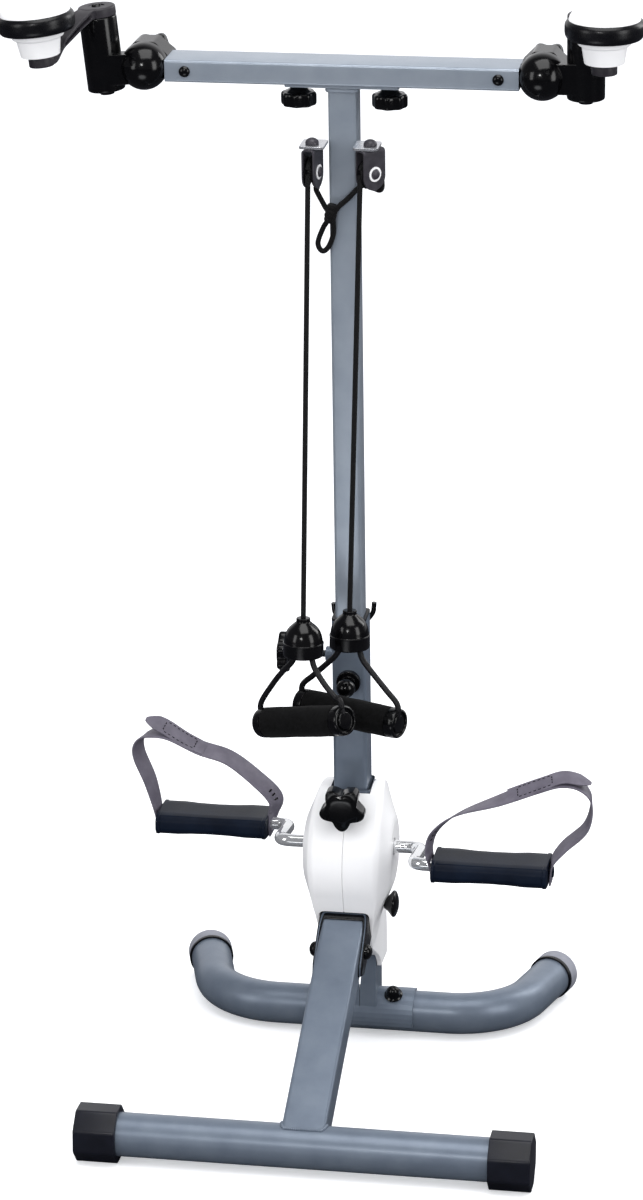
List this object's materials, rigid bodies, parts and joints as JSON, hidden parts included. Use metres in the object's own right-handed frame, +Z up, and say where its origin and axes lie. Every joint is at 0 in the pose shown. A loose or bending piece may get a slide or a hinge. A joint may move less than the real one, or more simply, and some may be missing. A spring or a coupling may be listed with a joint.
{
  "type": "pedal and arm exerciser",
  "caption": "Floor-standing pedal and arm exerciser: foot cranks in a white housing, leaning mast with a cross bar, hand cranks with mushroom grips and a pulley cord with handles.",
  "frame": {"origin": "on the floor, under the middle of the bounding box", "axes": "+Z up, -Y towards the user at the front floor tube, +X along the cross bar to the user's right"},
  "size_m": [0.7047, 0.62, 1.3032],
  "materials": {
    "grey_paint": "metallic blue-grey gloss paint",
    "silver_paint": "silver-grey metallic paint",
    "black_paint": "black paint",
    "white_plastic": "white satin moulding",
    "black_gloss": "black glossy moulding",
    "black_matte": "black textured moulding",
    "crank_chrome": "polished",
    "raw_steel": "turned",
    "black_rubber": "matt",
    "rope": "braided black rope"
  },
  "bodies": {
    "frame": {"front_floor_tube": "grey_paint", "front_cap_left": "black_gloss", "front_cap_right": "black_gloss", "rear_floor_tube": "grey_paint", "rear_cap_left": "black_matte", "rear_cap_right": "black_matte", "saddle_bolt_left": "black_gloss", "saddle_bolt_right": "black_gloss", "main_beam": "grey_paint", "beam_receiver": "black_paint", "beam_bolt": "black_gloss", "spine": "grey_paint", "housing_left": "white_plastic", "housing_right": "white_plastic", "mast_sleeve": "grey_paint", "sleeve_bush": "black_matte", "drive_belt": "black_rubber"},
    "foot_crank": {"crank": "crank_chrome", "belt_wheel": "black_matte"},
    "flywheel_body": {"flywheel": "raw_steel"},
    "brake": {"brake_arm": "raw_steel"},
    "tension": {"tension_knob": "black_gloss"},
    "upper": {"mast": "silver_paint", "cross_bar": "silver_paint", "bar_screw_left": "black_gloss", "bar_screw_right": "black_gloss", "arm_joint_left": "black_gloss", "arm_joint_right": "black_gloss", "pulley_yoke_left": "black_gloss", "pulley_yoke_right": "black_gloss", "cord_middle": "rope"},
    "pin": {"pull_pin": "black_gloss"},
    "side_knob": {"side_star_knob": "black_gloss"},
    "front_knob": {"front_star_knob": "black_gloss"},
    "pedal_left_body": {"pedal_left": "black_matte", "strap_left": "black_matte"},
    "pedal_right_body": {"pedal_right": "black_matte", "strap_right": "black_matte"},
    "bar_knob_left_body": {"bar_knob_left": "black_gloss"},
    "bar_knob_right_body": {"bar_knob_right": "black_gloss"},
    "arm_left": {"bearing_tube_left": "black_gloss"},
    "tilt_knob_left_body": {"tilt_knob_left": "black_gloss"},
    "hand_crank_left_body": {"hand_crank_left": "black_matte"},
    "grip_left_body": {"grip_left": "white_plastic", "grip_ring_left": "black_rubber"},
    "arm_right": {"bearing_tube_right": "black_gloss"},
    "tilt_knob_right_body": {"tilt_knob_right": "black_gloss"},
    "hand_crank_right_body": {"hand_crank_right": "black_matte"},
    "grip_right_body": {"grip_right": "white_plastic", "grip_ring_right": "black_rubber"},
    "wheel_left_body": {"pulley_wheel_left": "black_matte"},
    "pull_left": {"cord_left": "rope", "handle_bell_left": "black_gloss", "handle_yoke_left": "black_matte", "foam_grip_left": "black_rubber"},
    "wheel_right_body": {"pulley_wheel_right": "black_matte"},
    "pull_right": {"cord_right": "rope", "handle_bell_right": "black_gloss", "handle_yoke_right": "black_matte", "foam_grip_right": "black_rubber"}
  },
  "joints": [
    {"name": "foot_crank_turn", "type": "hinge", "parent": "frame", "child": "foot_crank", "pos_m": [0.0131, 0.046, 0.276], "axis": [1, 0, 0], "continuous": true},
    {"name": "flywheel_turn", "type": "hinge", "parent": "frame", "child": "flywheel_body", "pos_m": [0.0131, 0.09, 0.236], "axis": [1, 0, 0], "continuous": true},
    {"name": "tension_turn", "type": "hinge", "parent": "frame", "child": "tension", "pos_m": [0.0131, 0.04, 0.206], "axis": [1, 0, 0], "range_deg": [0, 270]},
    {"name": "brake_swing", "type": "hinge", "parent": "frame", "child": "brake", "pos_m": [0.0131, 0.094, 0.18], "axis": [1, 0, 0], "range_deg": [-2.5, 0]},
    {"name": "pedal_left_turn", "type": "hinge", "parent": "foot_crank", "child": "pedal_left_body", "pos_m": [-0.1649, 0.12552, 0.26722], "axis": [1, 0, 0], "continuous": true},
    {"name": "pedal_right_turn", "type": "hinge", "parent": "foot_crank", "child": "pedal_right_body", "pos_m": [0.1911, -0.03352, 0.28478], "axis": [1, 0, 0], "continuous": true},
    {"name": "mast_height", "type": "slide", "parent": "frame", "child": "upper", "axis": [0, -0.0872, 0.9962], "range_m": [0, 0.125]},
    {"name": "pin_pull", "type": "slide", "parent": "frame", "child": "pin", "axis": [0, -0.9962, -0.0872], "range_m": [-0.004, 0.004]},
    {"name": "side_knob_turn", "type": "hinge", "parent": "frame", "child": "side_knob", "pos_m": [-0.0659, 0.05055, 0.50806], "axis": [1, 0, 0], "range_deg": [-180, 180]},
    {"name": "front_knob_turn", "type": "hinge", "parent": "frame", "child": "front_knob", "pos_m": [0.0131, -0.01113, 0.34105], "axis": [0, 0.9962, 0.0872], "range_deg": [-180, 180]},
    {"name": "bar_knob_left_turn", "type": "hinge", "parent": "upper", "child": "bar_knob_left_body", "pos_m": [-0.0379, -0.0075, 1.17152], "axis": [0, -0.0872, 0.9962], "range_deg": [-180, 180]},
    {"name": "bar_knob_right_turn", "type": "hinge", "parent": "upper", "child": "bar_knob_right_body", "pos_m": [0.0641, -0.0075, 1.17152], "axis": [0, -0.0872, 0.9962], "range_deg": [-180, 180]},
    {"name": "arm_tilt_left", "type": "hinge", "parent": "upper", "child": "arm_left", "pos_m": [-0.2089, -0.01038, 1.2044], "axis": [0, 0.9962, 0.0872], "range_deg": [-30, 30]},
    {"name": "tilt_knob_left_turn", "type": "hinge", "parent": "arm_left", "child": "tilt_knob_left_body", "pos_m": [-0.2089, 0.03206, 1.20811], "axis": [0, 0.9962, 0.0872], "range_deg": [-180, 180]},
    {"name": "hand_crank_left_turn", "type": "hinge", "parent": "arm_left", "child": "hand_crank_left_body", "pos_m": [-0.26134, -0.02307, 1.25772], "axis": [-0.0958, -0.0868, 0.9916], "continuous": true},
    {"name": "grip_left_turn", "type": "hinge", "parent": "hand_crank_left_body", "child": "grip_left_body", "pos_m": [-0.30783, -0.12012, 1.2647], "axis": [-0.0958, -0.0868, 0.9916], "continuous": true},
    {"name": "arm_tilt_right", "type": "hinge", "parent": "upper", "child": "arm_right", "pos_m": [0.2351, -0.01038, 1.2044], "axis": [0, 0.9962, 0.0872], "range_deg": [-30, 30]},
    {"name": "tilt_knob_right_turn", "type": "hinge", "parent": "arm_right", "child": "tilt_knob_right_body", "pos_m": [0.2351, 0.03206, 1.20811], "axis": [0, 0.9962, 0.0872], "range_deg": [-180, 180]},
    {"name": "hand_crank_right_turn", "type": "hinge", "parent": "arm_right", "child": "hand_crank_right_body", "pos_m": [0.2821, -0.02349, 1.26248], "axis": [0, -0.0872, 0.9962], "continuous": true},
    {"name": "grip_right_turn", "type": "hinge", "parent": "hand_crank_right_body", "child": "grip_right_body", "pos_m": [0.31203, -0.12651, 1.27334], "axis": [0, -0.0872, 0.9962], "continuous": true},
    {"name": "wheel_left_turn", "type": "hinge", "parent": "upper", "child": "wheel_left_body", "pos_m": [-0.0179, -0.03475, 1.09285], "axis": [0.9848, -0.173, -0.0151], "continuous": true},
    {"name": "pull_left_swing", "type": "hinge", "parent": "upper", "child": "pull_left", "pos_m": [-0.0205, -0.04946, 1.09156], "axis": [-1, 0, 0], "range_deg": [0, 10]},
    {"name": "wheel_right_turn", "type": "hinge", "parent": "upper", "child": "wheel_right_body", "pos_m": [0.0471, -0.03475, 1.09285], "axis": [0.766, -0.6403, -0.056], "continuous": true},
    {"name": "pull_right_swing", "type": "hinge", "parent": "upper", "child": "pull_right", "pos_m": [0.03746, -0.04619, 1.09185], "axis": [-0.4226, -0.9063, 0], "range_deg": [0, 3.5]}
  ],
  "couplings": [
    {"joint": "flywheel_turn", "follows": "foot_crank_turn", "ratio": 3.1667},
    {"joint": "brake_swing", "follows": "tension_turn", "ratio": -0.00889}
  ]
}
